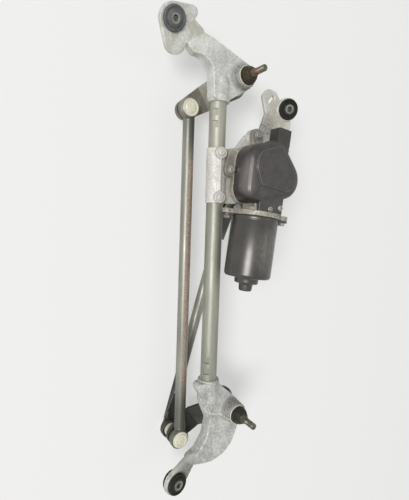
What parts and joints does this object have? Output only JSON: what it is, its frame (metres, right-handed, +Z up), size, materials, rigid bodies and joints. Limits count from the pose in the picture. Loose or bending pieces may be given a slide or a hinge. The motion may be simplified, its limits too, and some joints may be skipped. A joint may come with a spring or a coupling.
{
  "type": "windshield wiper assembly",
  "caption": "Windshield wiper linkage: a tube frame with cast pivot housings, spindles on joggled levers, a link rod, and a worm gear motor whose crank moves the levers through a drive rod.",
  "frame": {"origin": "left pivot axis at the wiper arm's seat, where the spindle's thread starts", "axes": "+X along the frame tube to the right pivot, +Z up along the spindles, +Y towards the link rod"},
  "size_m": [0.604, 0.211, 0.125],
  "materials": {
    "cast_aluminium": "as cast, dull",
    "tube_steel": "dull grey",
    "zinc_steel": "zinc plated, dull",
    "rubber": "matt",
    "bronze": "sintered",
    "black_plastic": "satin",
    "copper": "bare",
    "can_steel": "satin black",
    "magnet": "dull",
    "nylon": "satin",
    "lever_steel": "black",
    "rod_steel": "grey with rust"
  },
  "bodies": {
    "frame": {"frame_tube": "tube_steel", "left_pivot_housing": "cast_aluminium", "right_pivot_housing": "cast_aluminium", "motor_bracket": "cast_aluminium", "saddle_screws": "zinc_steel", "left_grommet": "rubber", "right_grommet": "rubber", "motor_grommet": "rubber", "left_grommet_sleeve": "zinc_steel", "right_grommet_sleeve": "zinc_steel", "motor_grommet_sleeve": "zinc_steel", "left_pivot_bushes": "bronze", "right_pivot_bushes": "bronze", "gear_housing": "cast_aluminium", "gear_cover": "black_plastic", "cover_screws": "zinc_steel", "connector_socket": "black_plastic", "connector_terminals": "copper", "motor_can": "can_steel", "can_bolts": "zinc_steel", "motor_mount_bolts": "zinc_steel", "field_magnets": "magnet", "brush_card": "black_plastic", "brushes": "black_plastic", "front_bearing": "zinc_steel", "rear_bush": "bronze", "worm_end_bush": "bronze", "output_bush": "bronze"},
    "armature": {"armature_shaft": "zinc_steel", "armature_core": "magnet", "armature_windings": "copper", "commutator": "copper"},
    "crank": {"worm_wheel": "nylon", "output_shaft": "zinc_steel", "crank_arm": "lever_steel", "crank_nut": "zinc_steel", "crank_stud": "zinc_steel"},
    "left_rocker": {"left_pivot_shaft": "zinc_steel", "left_lever": "lever_steel", "left_ball_stud": "zinc_steel", "left_thrust_washer": "nylon", "left_retaining_washer": "zinc_steel", "left_dust_cap": "rubber"},
    "right_rocker": {"right_pivot_shaft": "zinc_steel", "right_lever": "lever_steel", "right_ball_stud": "zinc_steel", "right_thrust_washer": "nylon", "right_retaining_washer": "zinc_steel", "right_dust_cap": "rubber"},
    "link_rod": {"link_rod": "rod_steel", "link_left_socket": "nylon", "link_right_socket": "nylon"},
    "drive_rod": {"drive_rod": "lever_steel", "drive_lever_socket": "nylon", "drive_crank_socket": "nylon", "crank_ball": "zinc_steel"}
  },
  "joints": [
    {"name": "armature_spin", "type": "hinge", "parent": "frame", "child": "armature", "pos_m": [0.31608, -0.01778, -0.016], "axis": [-0.9932, 0.1167, 0], "range_deg": [0, 8409.06]},
    {"name": "crank_turn", "type": "hinge", "parent": "frame", "child": "crank", "pos_m": [0.313, -0.044, -0.0845], "axis": [0, 0, 1], "range_deg": [-175.19, 0]},
    {"name": "left_pivot", "type": "hinge", "parent": "frame", "child": "left_rocker", "pos_m": [0, 0, -0.0595], "axis": [0, 0, 1], "range_deg": [-71.16, 0]},
    {"name": "right_pivot", "type": "hinge", "parent": "frame", "child": "right_rocker", "pos_m": [0.44, 0, -0.0595], "axis": [0, 0, 1], "range_deg": [-71.16, 0]},
    {"name": "link_ball", "type": "hinge", "parent": "left_rocker", "child": "link_rod", "pos_m": [-0.04194, 0.06218, -0.0695], "axis": [0, 0, 1], "range_deg": [0, 71.16]},
    {"name": "drive_ball", "type": "hinge", "parent": "left_rocker", "child": "drive_rod", "pos_m": [-0.04194, 0.06218, -0.0945], "axis": [0, 0, 1], "range_deg": [0, 65.44]}
  ],
  "couplings": [
    {"joint": "crank_turn", "follows": "armature_spin", "ratio": -0.020833},
    {"joint": "left_pivot", "follows": "armature_spin", "ratio": -0.0084621},
    {"joint": "right_pivot", "follows": "armature_spin", "ratio": -0.0084621},
    {"joint": "link_ball", "follows": "armature_spin", "ratio": 0.0084621},
    {"joint": "drive_ball", "follows": "armature_spin", "ratio": 0.0077816}
  ]
}
